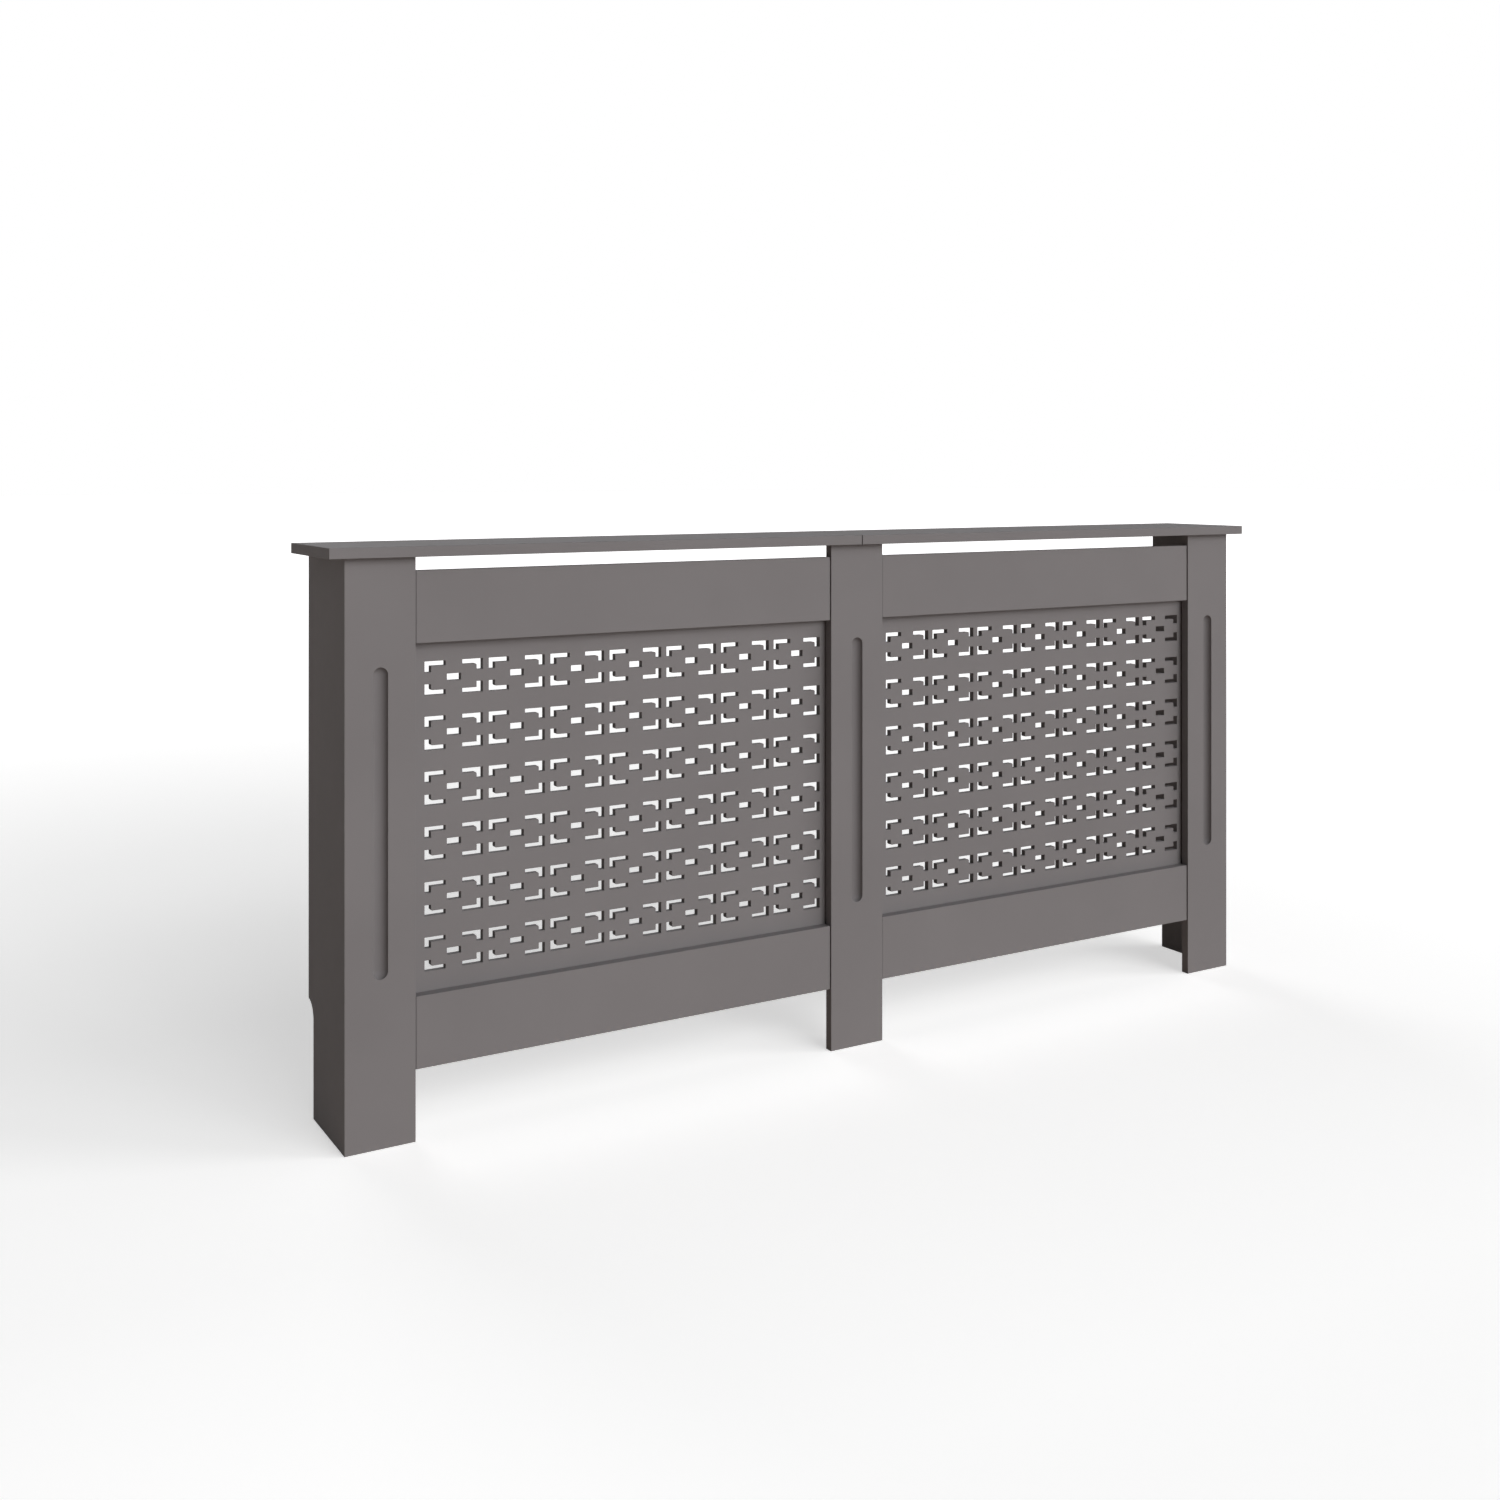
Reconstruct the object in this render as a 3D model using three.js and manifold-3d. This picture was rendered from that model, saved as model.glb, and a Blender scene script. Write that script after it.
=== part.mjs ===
// Radiator cover cabinet in painted MDF: a two-piece shelf on three grooved posts and two side
// panels, with two pierced grilles fixed on the backs of their rails. Millimetres, +Z up.
// The origin is on the floor under the middle of the shelf; the front faces -Y, the wall is at +Y.

import * as THREE from 'three';
import { mergeVertices } from 'three/addons/utils/BufferGeometryUtils.js';
import Module from 'manifold-3d';

const wasm = await Module();
wasm.setup();

// ---------------------------------------------------------------- driving dimensions

// Shelf
const SHELF_LENGTH = 1720;
const SHELF_DEPTH = 191;
const SHELF_THICKNESS = 15;
const SHELF_SEAM_GAP = 1;
const SHELF_OVERHANG_ENDS = 25;
const SHELF_OVERHANG_FRONT = 15;

// Body under the shelf
const BODY_HEIGHT = 807;

// Posts, each with one routed groove
const POST_WIDTH = 99.5;
const POST_THICKNESS = 15;
const GROOVE_WIDTH = 20.9;
const GROOVE_DEPTH = 10.4;
const GROOVE_ABOVE_BOTTOM_RAIL = 31.9;
const GROOVE_BELOW_TOP_RAIL = 30;

// Side panels, notched for a skirting board
const SIDE_THICKNESS = 15;
const SKIRTING_DEPTH = 25;
const SKIRTING_HEIGHT = 166;

// Rails between the posts
const RAIL_HEIGHT = 100.5;
const RAIL_THICKNESS = 17;
const RAIL_SETBACK = 1.5;
const TOP_RAIL_GAP = 19.5;
const BOTTOM_RAIL_GAP = 99;

// Grilles behind the rails
const GRILLE_THICKNESS = 10;
const GRILLE_RAIL_LAP = 30;
const GRILLE_POST_LAP = 20;

// Slot pattern: as many motifs as the bay takes, each of four L slots round a short slot
const MOTIF_PITCH_X = 95.1;
const MOTIF_PITCH_Z = 77.05;
const MOTIF_WIDTH = 86;
const MOTIF_HEIGHT = 47.4;
const L_SLOT_LENGTH = 30.6;
const L_SLOT_HEIGHT = 15.4;
const L_SLOT_BAR = 6.8;
const L_SLOT_LEG = 9.2;
const L_SLOT_FILLET = 2.2;
const SHORT_SLOT_LENGTH = 20.7;
const SHORT_SLOT_HEIGHT = 9.7;
const PATTERN_START_LEFT_BAY = 19.2;
const PATTERN_START_RIGHT_BAY = 20.4;
const PATTERN_START_Z = 26.9;

// Dowels
const DOWEL_RADIUS = 3;
const RAIL_DOWEL_LENGTH = 40;
const RAIL_DOWEL_EDGE = 25;
const SIDE_DOWEL_LENGTH = 30;
const SIDE_DOWEL_DEPTH_IN_POST = 9.5;
const SIDE_DOWEL_END_MARGIN = 120;

// Angle brackets under the shelf
const BRACKET_LEG = 30;
const BRACKET_WIDTH = 20;
const BRACKET_SHEET = 2;
const BRACKET_HOLE_OFFSET = 18;
const SIDE_BRACKET_SETBACK = 60;
const CENTRE_BRACKET_FROM_SEAM = 24;

// Wall brackets at the rear of the side panels
const WALL_BRACKET_LEG = 30;
const WALL_BRACKET_REACH = 40;
const WALL_BRACKET_WIDTH = 40;
const WALL_BRACKET_BELOW_SHELF = 88;
const WALL_BRACKET_HOLE_OFFSET = 25;
const WALL_SCREW_HOLE_RADIUS = 3;
const WALL_SCREW_HOLE_OFFSET = 18;

// Joining plate across the shelf seam
const PLATE_LENGTH = 120;
const PLATE_WIDTH = 30;
const PLATE_HOLE_PITCH = 30;
const PLATE_INNER_HOLE = 20;
const PLATE_FROM_POST_FRONT = 110;

// Screws
const SCREW_SHANK_RADIUS = 1.75;
const SCREW_LENGTH = 12;
const SCREW_TIP = 2.5;
const SCREW_HEAD_RADIUS = 3.5;
const SCREW_HEAD_HEIGHT = 2.2;
const SCREW_HEAD_EDGE = 1.6;

// Fits
const CLEARANCE = 0.3;
const BORE_END_CLEARANCE = 1;
const CUT_OVERRUN = 1;

// Facets
const ARC_STEPS = 8;
const FILLET_STEPS = 2;
const ROUND_SIDES = 8;
const GROOVE_SIDES = 28;
const GROOVE_CAP_STEPS = 8;

// ---------------------------------------------------------------- derived places

const shelfLeft = -SHELF_LENGTH / 2;
const shelfRight = SHELF_LENGTH / 2;
const shelfFront = -SHELF_DEPTH / 2;
const wallPlane = SHELF_DEPTH / 2;
const shelfTop = BODY_HEIGHT + SHELF_THICKNESS;

const bodyLeft = shelfLeft + SHELF_OVERHANG_ENDS;
const bodyRight = shelfRight - SHELF_OVERHANG_ENDS;
const bodyMiddle = (bodyLeft + bodyRight) / 2;
const postFront = shelfFront + SHELF_OVERHANG_FRONT;
const postBack = postFront + POST_THICKNESS;

const railFront = postFront + RAIL_SETBACK;
const railBack = railFront + RAIL_THICKNESS;
const grilleBack = railBack + GRILLE_THICKNESS;
const topRailTop = BODY_HEIGHT - TOP_RAIL_GAP;
const topRailBottom = topRailTop - RAIL_HEIGHT;
const bottomRailBottom = BOTTOM_RAIL_GAP;
const bottomRailTop = bottomRailBottom + RAIL_HEIGHT;
const grooveBottom = bottomRailTop + GROOVE_ABOVE_BOTTOM_RAIL;
const grooveTop = topRailBottom - GROOVE_BELOW_TOP_RAIL;

const boreRadius = DOWEL_RADIUS + CLEARANCE;
const pilotRadius = SCREW_SHANK_RADIUS + CLEARANCE;

const posts = {
  left: { low: bodyLeft, high: bodyLeft + POST_WIDTH },
  centre: { low: bodyMiddle - POST_WIDTH / 2, high: bodyMiddle + POST_WIDTH / 2 },
  right: { low: bodyRight - POST_WIDTH, high: bodyRight },
};

const bays = {
  left: { low: posts.left.high, high: posts.centre.low, patternStart: PATTERN_START_LEFT_BAY },
  right: { low: posts.centre.high, high: posts.right.low, patternStart: PATTERN_START_RIGHT_BAY },
};

const rails = {
  top: { low: topRailBottom, high: topRailTop },
  bottom: { low: bottomRailBottom, high: bottomRailTop },
};

// ---------------------------------------------------------------- materials

const paintedMdf = { color: 0x7a7574, roughness: 0.62, metalness: 0 };
const beech = { color: 0xc9a878, roughness: 0.7, metalness: 0 };
const zincedSteel = { color: 0xb9bcbf, roughness: 0.35, metalness: 1 };

// ---------------------------------------------------------------- solids

// The same geometry with its shared corners merged, as a manifold solid.
function solidOf(geometry) {
  const bare = new THREE.BufferGeometry();
  bare.setAttribute('position', geometry.attributes.position.clone());
  if (geometry.index) bare.setIndex(geometry.index.clone());
  const merged = mergeVertices(bare, 1e-4);
  return new wasm.Manifold(new wasm.Mesh({
    numProp: 3,
    vertProperties: Float32Array.from(merged.attributes.position.array),
    triVerts: Uint32Array.from(merged.index.array),
  }));
}

function geometryOf(solid) {
  const mesh = solid.getMesh();
  const geometry = new THREE.BufferGeometry();
  geometry.setAttribute('position', new THREE.BufferAttribute(mesh.vertProperties, 3));
  geometry.setIndex(new THREE.BufferAttribute(mesh.triVerts, 1));
  geometry.computeVertexNormals();
  return geometry;
}

// A geometry with every cutter taken out of it.
function cut(geometry, cutters) {
  let solid = solidOf(geometry);
  for (const cutter of cutters) solid = solid.subtract(solidOf(cutter));
  return geometryOf(solid);
}

// An outline carried along one axis, its two flat faces exactly at low and high. The outline is in
// (Y, Z) for axis x, (X, Z) for axis y and (X, Y) for axis z.
function prism(outline, axis, low, high) {
  const geometry = new THREE.ExtrudeGeometry(outline, {
    depth: 1,
    bevelEnabled: false,
    curveSegments: ARC_STEPS,
  });
  const corners = geometry.attributes.position;
  for (let i = 0; i < corners.count; i += 1) {
    const u = corners.getX(i);
    const v = corners.getY(i);
    const atEnd = corners.getZ(i) > 0.5;
    if (axis === 'x') corners.setXYZ(i, atEnd ? high : low, u, v);
    if (axis === 'y') corners.setXYZ(i, u, atEnd ? low : high, v);
    if (axis === 'z') corners.setXYZ(i, u, v, atEnd ? high : low);
  }
  return geometry;
}

function polygon(points) {
  return new THREE.Shape(points.map(([u, v]) => new THREE.Vector2(u, v)));
}

// A flat board between two corners.
function board(low, high) {
  const outline = polygon([
    [low[0], low[1]],
    [high[0], low[1]],
    [high[0], high[1]],
    [low[0], high[1]],
  ]);
  return prism(outline, 'z', low[2], high[2]);
}

// A round bar along an axis, from start to end, measured from a point on that axis.
function bar(axis, radius, point, start, end) {
  const geometry = new THREE.CylinderGeometry(radius, radius, end - start, ROUND_SIDES);
  geometry.translate(0, (start + end) / 2, 0);
  if (axis === 'x') geometry.rotateZ(-Math.PI / 2);
  if (axis === 'z') geometry.rotateX(Math.PI / 2);
  return geometry.translate(...point);
}

// ---------------------------------------------------------------- the scene graph

const cabinet = new THREE.Group();

function piece(name, geometry, finish, parent = cabinet) {
  const mesh = new THREE.Mesh(geometry, new THREE.MeshStandardMaterial({ ...finish, flatShading: true }));
  mesh.name = name;
  parent.add(mesh);
  return mesh;
}

// ---------------------------------------------------------------- screws and their pilot holes

// A pan-head screw: its head seats on z = 0 and its shank runs along +Z.
function screwGeometry() {
  const profile = [
    [0, -SCREW_HEAD_HEIGHT],
    [SCREW_HEAD_RADIUS * 0.8, -SCREW_HEAD_EDGE],
    [SCREW_HEAD_RADIUS, 0],
    [SCREW_SHANK_RADIUS, 0],
    [SCREW_SHANK_RADIUS, SCREW_LENGTH - SCREW_TIP],
    [0, SCREW_LENGTH],
  ].map(([radius, height]) => new THREE.Vector2(radius, height));
  return new THREE.LatheGeometry(profile, ROUND_SIDES).rotateX(Math.PI / 2);
}

// The hole that such a screw needs in a board.
function pilotGeometry() {
  return bar('z', pilotRadius, [0, 0, 0], -CUT_OVERRUN, SCREW_LENGTH + BORE_END_CLEARANCE);
}

// A placed screw, and its pilot hole in the cabinet's own frame. `at` and `turn` place the head's
// seat inside the group that carries the screw.
function screwIn(group, name, at, turn) {
  const screw = piece(name, screwGeometry(), zincedSteel, group);
  screw.position.set(...at);
  screw.rotation.set(...turn);
  cabinet.updateMatrixWorld(true);
  return pilotGeometry().applyMatrix4(screw.matrixWorld);
}

// ---------------------------------------------------------------- angle brackets

// An angle bracket whose corner runs along Y: one leg lies under z = 0 along +X, the other hangs
// down in front of x = 0. Both keep the fitting clearance to those planes.
function angleGeometry(legX, legZ, width, holeX, holeXRadius, holeZ) {
  const near = CLEARANCE;
  const far = CLEARANCE + BRACKET_SHEET;
  const outline = polygon([
    [near, -near],
    [near, -legZ],
    [far, -legZ],
    [far, -far],
    [legX, -far],
    [legX, -near],
  ]);
  const angle = prism(outline, 'y', -width / 2, width / 2);
  return cut(angle, [
    bar('z', holeXRadius, [holeX, 0, 0], -far - CUT_OVERRUN, CUT_OVERRUN),
    bar('x', pilotRadius, [0, 0, -holeZ], -CUT_OVERRUN, far + CUT_OVERRUN),
  ]);
}

const screwSeat = 2 * CLEARANCE + BRACKET_SHEET;
const pointUp = [0, 0, 0];
const pointBack = [0, -Math.PI / 2, 0];

// One bracket under the shelf with its two screws. Returns the pilot holes of the shelf and of the
// board that the bracket hangs on.
function shelfBracket(name, x, y, turn) {
  const group = new THREE.Group();
  group.position.set(x, y, BODY_HEIGHT);
  group.rotation.z = turn;
  cabinet.add(group);
  const angle = angleGeometry(
    BRACKET_LEG, BRACKET_LEG, BRACKET_WIDTH, BRACKET_HOLE_OFFSET, pilotRadius, BRACKET_HOLE_OFFSET,
  );
  piece(`shelf_bracket_${name}`, angle, zincedSteel, group);
  const inShelf = screwIn(
    group, `shelf_bracket_screw_${name}_up`, [BRACKET_HOLE_OFFSET, 0, -screwSeat], pointUp,
  );
  const inBoard = screwIn(
    group, `shelf_bracket_screw_${name}_side`, [screwSeat, 0, -BRACKET_HOLE_OFFSET], pointBack,
  );
  return { inShelf, inBoard };
}

const sideBracketY = postFront + SIDE_BRACKET_SETBACK;
const bracketPilots = {
  left: shelfBracket('left', bodyLeft + SIDE_THICKNESS, sideBracketY, 0),
  centreLeft: shelfBracket('centre_left', -CENTRE_BRACKET_FROM_SEAM, postBack, Math.PI / 2),
  centreRight: shelfBracket('centre_right', CENTRE_BRACKET_FROM_SEAM, postBack, Math.PI / 2),
  right: shelfBracket('right', bodyRight - SIDE_THICKNESS, sideBracketY, Math.PI),
};

// One bracket at the rear of a side panel: its free leg lies in the plane of the wall.
function wallBracket(side, x, turn) {
  const group = new THREE.Group();
  group.position.set(x, wallPlane + CLEARANCE, BODY_HEIGHT - WALL_BRACKET_BELOW_SHELF);
  group.rotation.set(...turn);
  cabinet.add(group);
  const angle = angleGeometry(
    WALL_BRACKET_LEG, WALL_BRACKET_REACH, WALL_BRACKET_WIDTH,
    WALL_SCREW_HOLE_OFFSET, WALL_SCREW_HOLE_RADIUS, WALL_BRACKET_HOLE_OFFSET,
  );
  piece(`wall_bracket_${side}`, angle, zincedSteel, group);
  return screwIn(
    group, `wall_bracket_screw_${side}`, [screwSeat, 0, -WALL_BRACKET_HOLE_OFFSET], pointBack,
  );
}

const wallPilots = {
  left: wallBracket('left', bodyLeft + SIDE_THICKNESS, [-Math.PI / 2, 0, 0]),
  right: wallBracket('right', bodyRight - SIDE_THICKNESS, [Math.PI / 2, Math.PI, 0]),
};

// ---------------------------------------------------------------- joining plate under the seam

function joiningPlate() {
  const group = new THREE.Group();
  group.position.set(0, postFront + PLATE_FROM_POST_FRONT, BODY_HEIGHT);
  cabinet.add(group);
  const holes = [-1, 1].flatMap((side) => [
    side * PLATE_INNER_HOLE,
    side * (PLATE_INNER_HOLE + PLATE_HOLE_PITCH),
  ]);
  const far = CLEARANCE + BRACKET_SHEET;
  const plate = board(
    [-PLATE_LENGTH / 2, -PLATE_WIDTH / 2, -far],
    [PLATE_LENGTH / 2, PLATE_WIDTH / 2, -CLEARANCE],
  );
  const drills = holes.map((x) => bar('z', pilotRadius, [x, 0, 0], -far - CUT_OVERRUN, CUT_OVERRUN));
  piece('joining_plate', cut(plate, drills), zincedSteel, group);
  return holes.map((x, index) => ({
    x,
    cutter: screwIn(group, `joining_plate_screw_${index + 1}`, [x, 0, -screwSeat], pointUp),
  }));
}

const platePilots = joiningPlate();

// ---------------------------------------------------------------- dowels and their bores

const railDowelY = (railFront + postBack) / 2;
const boreReach = RAIL_DOWEL_LENGTH / 2 + BORE_END_CLEARANCE;

// Two dowels across each rail end. The bores are kept for the posts and the rails.
const railDowels = [];
for (const [bayName, bay] of Object.entries(bays)) {
  for (const [railName, rail] of Object.entries(rails)) {
    for (const [endName, x] of [['left', bay.low], ['right', bay.high]]) {
      const heights = [rail.low + RAIL_DOWEL_EDGE, rail.high - RAIL_DOWEL_EDGE];
      heights.forEach((z, index) => {
        railDowels.push({
          name: `rail_dowel_${bayName}_${railName}_${endName}_${index + 1}`,
          bay: bayName,
          rail: railName,
          x,
          at: [x, railDowelY, z],
        });
      });
    }
  }
}

for (const dowel of railDowels) {
  const half = RAIL_DOWEL_LENGTH / 2;
  piece(dowel.name, bar('x', DOWEL_RADIUS, dowel.at, -half, half), beech);
}

const railBore = (dowel) => bar('x', boreRadius, dowel.at, -boreReach, boreReach);

// Three dowels from the front edge of each side panel into the back of its post.
const sideDowelHeights = [
  SIDE_DOWEL_END_MARGIN,
  BODY_HEIGHT / 2,
  BODY_HEIGHT - SIDE_DOWEL_END_MARGIN,
];

function sideDowels(side, x) {
  return sideDowelHeights.map((z, index) => {
    const at = [x, postBack, z];
    const start = -SIDE_DOWEL_DEPTH_IN_POST;
    const end = SIDE_DOWEL_LENGTH - SIDE_DOWEL_DEPTH_IN_POST;
    piece(`side_dowel_${side}_${index + 1}`, bar('y', DOWEL_RADIUS, at, start, end), beech);
    return bar('y', boreRadius, at, start - CLEARANCE, end + BORE_END_CLEARANCE);
  });
}

const sideBores = {
  left: sideDowels('left', bodyLeft + SIDE_THICKNESS / 2),
  right: sideDowels('right', bodyRight - SIDE_THICKNESS / 2),
};

// ---------------------------------------------------------------- posts

// The path of a round-nosed cutter: a long ball-ended bar that dips into the post's face.
function grooveCutter(middle) {
  const halfWidth = GROOVE_WIDTH / 2;
  const radius = (halfWidth ** 2 + GROOVE_DEPTH ** 2) / (2 * GROOVE_DEPTH);
  const straight = grooveTop - grooveBottom - GROOVE_WIDTH;
  const path = new THREE.CapsuleGeometry(radius, straight, GROOVE_CAP_STEPS, GROOVE_SIDES);
  path.rotateX(Math.PI / 2);
  return path.translate(middle, postFront + GROOVE_DEPTH - radius, (grooveBottom + grooveTop) / 2);
}

function post(name, place, cutters) {
  const blank = board([place.low, postFront, 0], [place.high, postBack, BODY_HEIGHT]);
  const bores = railDowels.filter((dowel) => dowel.x === place.low || dowel.x === place.high);
  const middle = (place.low + place.high) / 2;
  piece(
    `post_${name}`,
    cut(blank, [grooveCutter(middle), ...bores.map(railBore), ...cutters]),
    paintedMdf,
  );
}

post('left', posts.left, sideBores.left);
post('centre', posts.centre, [bracketPilots.centreLeft.inBoard, bracketPilots.centreRight.inBoard]);
post('right', posts.right, sideBores.right);

// ---------------------------------------------------------------- side panels

function sidePanel(name, low, cutters) {
  const notchFront = wallPlane - SKIRTING_DEPTH;
  const outline = new THREE.Shape();
  outline.moveTo(postBack, 0);
  outline.lineTo(notchFront, 0);
  outline.lineTo(notchFront, SKIRTING_HEIGHT - SKIRTING_DEPTH);
  outline.absarc(wallPlane, SKIRTING_HEIGHT - SKIRTING_DEPTH, SKIRTING_DEPTH, Math.PI, Math.PI / 2, true);
  outline.lineTo(wallPlane, BODY_HEIGHT);
  outline.lineTo(postBack, BODY_HEIGHT);
  const panel = prism(outline, 'x', low, low + SIDE_THICKNESS);
  piece(`side_panel_${name}`, cut(panel, cutters), paintedMdf);
}

sidePanel('left', bodyLeft, [...sideBores.left, bracketPilots.left.inBoard, wallPilots.left]);
sidePanel('right', bodyRight - SIDE_THICKNESS,
  [...sideBores.right, bracketPilots.right.inBoard, wallPilots.right]);

// ---------------------------------------------------------------- rails

for (const [bayName, bay] of Object.entries(bays)) {
  for (const [railName, rail] of Object.entries(rails)) {
    const blank = board([bay.low, railFront, rail.low], [bay.high, railBack, rail.high]);
    const bores = railDowels.filter((dowel) => dowel.bay === bayName && dowel.rail === railName);
    piece(`${railName}_rail_${bayName}`, cut(blank, bores.map(railBore)), paintedMdf);
  }
}

// ---------------------------------------------------------------- grilles

// One L slot. Its outer corner is at (x, z); the long bar runs towards sideX and the leg towards
// sideZ. The inner corner is sharp, or rounded where the cutter turned the other way.
function lSlot(x, z, sideX, sideZ, rounded) {
  const points = [
    [x, z],
    [x + sideX * L_SLOT_LENGTH, z],
    [x + sideX * L_SLOT_LENGTH, z + sideZ * L_SLOT_BAR],
  ];
  const innerX = x + sideX * L_SLOT_LEG;
  const innerZ = z + sideZ * L_SLOT_BAR;
  if (rounded) {
    for (let step = 0; step <= FILLET_STEPS; step += 1) {
      const angle = (step / FILLET_STEPS) * (Math.PI / 2);
      points.push([
        innerX + sideX * L_SLOT_FILLET * (1 - Math.sin(angle)),
        innerZ + sideZ * L_SLOT_FILLET * (1 - Math.cos(angle)),
      ]);
    }
  } else {
    points.push([innerX, innerZ]);
  }
  points.push([innerX, z + sideZ * L_SLOT_HEIGHT], [x, z + sideZ * L_SLOT_HEIGHT]);
  return polygon(points);
}

// The five slots of one motif whose lower left corner is at (x, z).
function motif(x, z) {
  const right = x + MOTIF_WIDTH;
  const top = z + MOTIF_HEIGHT;
  const shortX = (x + right - SHORT_SLOT_LENGTH) / 2;
  const shortZ = (z + top - SHORT_SLOT_HEIGHT) / 2;
  return [
    lSlot(x, z, 1, 1, true),
    lSlot(right, z, -1, 1, false),
    lSlot(right, top, -1, -1, true),
    lSlot(x, top, 1, -1, false),
    polygon([
      [shortX, shortZ],
      [shortX + SHORT_SLOT_LENGTH, shortZ],
      [shortX + SHORT_SLOT_LENGTH, shortZ + SHORT_SLOT_HEIGHT],
      [shortX, shortZ + SHORT_SLOT_HEIGHT],
    ]),
  ];
}

function grille(name, bay) {
  const panel = board(
    [bay.low - GRILLE_POST_LAP, railBack, bottomRailTop - GRILLE_RAIL_LAP],
    [bay.high + GRILLE_POST_LAP, grilleBack, topRailBottom + GRILLE_RAIL_LAP],
  );
  const slots = [];
  for (let x = bay.low + bay.patternStart; x + MOTIF_WIDTH <= bay.high; x += MOTIF_PITCH_X) {
    for (let z = bottomRailTop + PATTERN_START_Z; z + MOTIF_HEIGHT <= topRailBottom; z += MOTIF_PITCH_Z) {
      slots.push(...motif(x, z));
    }
  }
  const cutters = slots.map((slot) => prism(slot, 'y', railBack - CUT_OVERRUN, grilleBack + CUT_OVERRUN));
  piece(`grille_${name}`, cut(panel, cutters), paintedMdf);
}

for (const [bayName, bay] of Object.entries(bays)) grille(bayName, bay);

// ---------------------------------------------------------------- shelf halves

function shelf(name, low, high, cutters) {
  const blank = board([low, shelfFront, BODY_HEIGHT], [high, wallPlane, shelfTop]);
  piece(`shelf_${name}`, cut(blank, cutters), paintedMdf);
}

const platePilotsOn = (side) => platePilots.filter(({ x }) => x * side > 0).map(({ cutter }) => cutter);

shelf('left', shelfLeft, -SHELF_SEAM_GAP / 2,
  [bracketPilots.left.inShelf, bracketPilots.centreLeft.inShelf, ...platePilotsOn(-1)]);
shelf('right', SHELF_SEAM_GAP / 2, shelfRight,
  [bracketPilots.right.inShelf, bracketPilots.centreRight.inShelf, ...platePilotsOn(1)]);

export default cabinet;
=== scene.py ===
"""Looks of the radiator cover cabinet: painted MDF boards with eased edges and routed grooves, two
slotted grilles, fluted beech dowels and zinc-plated brackets and screws. Metres, +Z up; the front
faces -Y, the wall is at +Y and the floor is z = 0."""

import math

import bmesh
import bpy
from mathutils import Matrix, Vector

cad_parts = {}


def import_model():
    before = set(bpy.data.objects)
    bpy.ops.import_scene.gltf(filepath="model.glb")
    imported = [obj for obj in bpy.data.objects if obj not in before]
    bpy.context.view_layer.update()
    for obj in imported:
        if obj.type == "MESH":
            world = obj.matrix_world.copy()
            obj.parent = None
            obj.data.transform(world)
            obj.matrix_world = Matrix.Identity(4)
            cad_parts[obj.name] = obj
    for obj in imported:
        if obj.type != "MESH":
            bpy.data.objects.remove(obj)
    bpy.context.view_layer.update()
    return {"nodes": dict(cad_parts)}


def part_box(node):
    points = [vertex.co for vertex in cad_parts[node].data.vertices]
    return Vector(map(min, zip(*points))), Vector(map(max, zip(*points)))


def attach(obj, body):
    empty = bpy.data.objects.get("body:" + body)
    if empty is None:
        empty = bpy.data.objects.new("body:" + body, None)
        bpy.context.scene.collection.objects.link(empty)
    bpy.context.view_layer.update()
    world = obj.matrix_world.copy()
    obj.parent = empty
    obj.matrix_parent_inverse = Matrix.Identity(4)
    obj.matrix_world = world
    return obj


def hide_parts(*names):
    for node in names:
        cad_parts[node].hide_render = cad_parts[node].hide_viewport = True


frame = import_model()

MM = 0.001

# ------------------------------------------------------------------ driving sizes, in millimetres

# Edges that the spray paint rounds
BOARD_EDGE = 0.8
JOINT_EDGE = 0.4
SLOT_EDGE = 0.35
EDGE_STEPS = 2

# Open seam between the halves of the shelf, over a core that all but closes
SEAM_WIDTH = 1.8
SEAM_DEPTH = 2.0
SEAM_CORE_GAP = 0.1

# Ends of the rails, beside the posts
RAIL_END_GAP = 0.5
RAIL_END_ROUNDING = 2.2
RAIL_END_STEPS = 6

# Routed groove of the posts
GROOVE_WIDTH = 20.9
GROOVE_DEPTH = 10.4
GROOVE_ABOVE_BOTTOM_RAIL = 31.9
GROOVE_BELOW_TOP_RAIL = 30.0
GROOVE_LIP = 0.5
GROOVE_RINGS = 14
GROOVE_ARC_STEPS = 24

# Skirting notch of the side panels
SKIRTING_DEPTH = 25.0
SKIRTING_HEIGHT = 166.0
NOTCH_ARC_STEPS = 16

# Slots of the grilles
MOTIF_PITCH_X = 95.1
MOTIF_PITCH_Z = 77.05
MOTIF_WIDTH = 86.0
MOTIF_HEIGHT = 47.4
L_SLOT_LENGTH = 30.6
L_SLOT_HEIGHT = 15.4
L_SLOT_BAR = 6.8
L_SLOT_LEG = 9.2
L_SLOT_FILLET = 2.2
SHORT_SLOT_LENGTH = 20.7
SHORT_SLOT_HEIGHT = 9.7
PATTERN_START_LEFT_BAY = 19.2
PATTERN_START_RIGHT_BAY = 20.4
PATTERN_START_Z = 26.9
FILLET_STEPS = 6

# Dowels and the holes round dowels and screws
DOWEL_RADIUS = 3.0
DOWEL_FLUTES = 16
DOWEL_FLUTE_DEPTH = 0.25
DOWEL_CHAMFER = 1.0
DOWEL_SHARP_ANGLE = 60.0
BORE_CLEARANCE = 0.3
BORE_END_CLEARANCE = 1.0
BORE_SIDES = 20
CUT_OVERRUN = 1.0

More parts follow.
